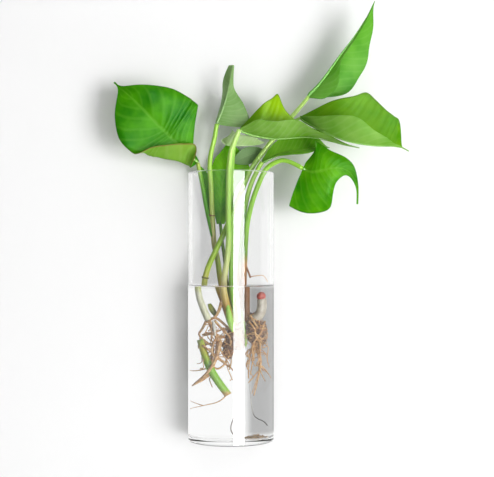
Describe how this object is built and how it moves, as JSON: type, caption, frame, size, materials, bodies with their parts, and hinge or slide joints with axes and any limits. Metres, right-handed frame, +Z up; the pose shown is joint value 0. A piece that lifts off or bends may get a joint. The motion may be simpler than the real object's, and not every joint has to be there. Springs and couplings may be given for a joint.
{
  "type": "propagation vase",
  "caption": "Wall-hung clear glass vase of D section with a flat back and a hanging hole, part filled with water and holding rooted leafy cuttings that lift out.",
  "frame": {"origin": "on the underside of the glass base, at the axis of the round front wall", "axes": "+Z up, +Y out of the flat back towards the wall, -Y towards the viewer, +X to the viewer's right"},
  "size_m": [0.2703, 0.0633, 0.4054],
  "materials": {
    "vessel_glass": "clear, polished",
    "water_clear": "clear liquid",
    "leaf_green": "waxy, glossy",
    "leaf_underside": "matt underside",
    "leaf_dark": "dark, shaded",
    "stem_green": "smooth, light green",
    "root_tan": "thin and fibrous",
    "root_brown": "rough, wet",
    "root_black": "dark, decayed",
    "stub_white": "pale, smooth",
    "bud_red": "satin",
    "silt_brown": "loose crumbs"
  },
  "bodies": {
    "vase": {"glass_vessel": "vessel_glass", "water": "water_clear", "floor_silt": "silt_brown"},
    "plant": {"leaf_left": "leaf_green", "leaf_standing": "leaf_underside", "leaf_folded": "leaf_underside", "leaf_middle": "leaf_underside", "leaf_tall": "leaf_green", "leaf_broad": "leaf_green", "leaf_arching": "leaf_dark", "leaf_drooping": "leaf_green", "leaf_inner": "leaf_dark", "leaf_back": "leaf_dark", "stem_main": "stem_green", "petiole_tall": "stem_green", "petiole_broad": "stem_green", "petiole_standing": "stem_green", "petiole_left": "stem_green", "petiole_folded": "stem_green", "petiole_middle": "stem_green", "petiole_inner": "stem_green", "petiole_arching": "stem_green", "petiole_drooping": "stem_green", "root_clump": "root_brown", "stem_cut": "stem_green", "root_tan": "root_tan", "root_join": "root_tan", "root_coil": "root_tan", "root_left_thick": "root_tan", "root_left_thin": "root_tan", "root_forked": "root_tan", "root_fork_tip": "root_tan", "root_hook": "root_brown", "root_dark": "root_black", "root_right_long": "root_tan", "root_right_side": "root_tan", "root_right_low": "root_tan", "stub_pale": "stub_white", "bud_red": "bud_red", "root_twig": "root_brown", "root_arch": "root_tan"}
  },
  "joints": [
    {"name": "plant_lift", "type": "slide", "parent": "vase", "child": "plant", "axis": [0, 0, 1], "range_m": [0, 0.26], "deforming": ["water"]}
  ]
}
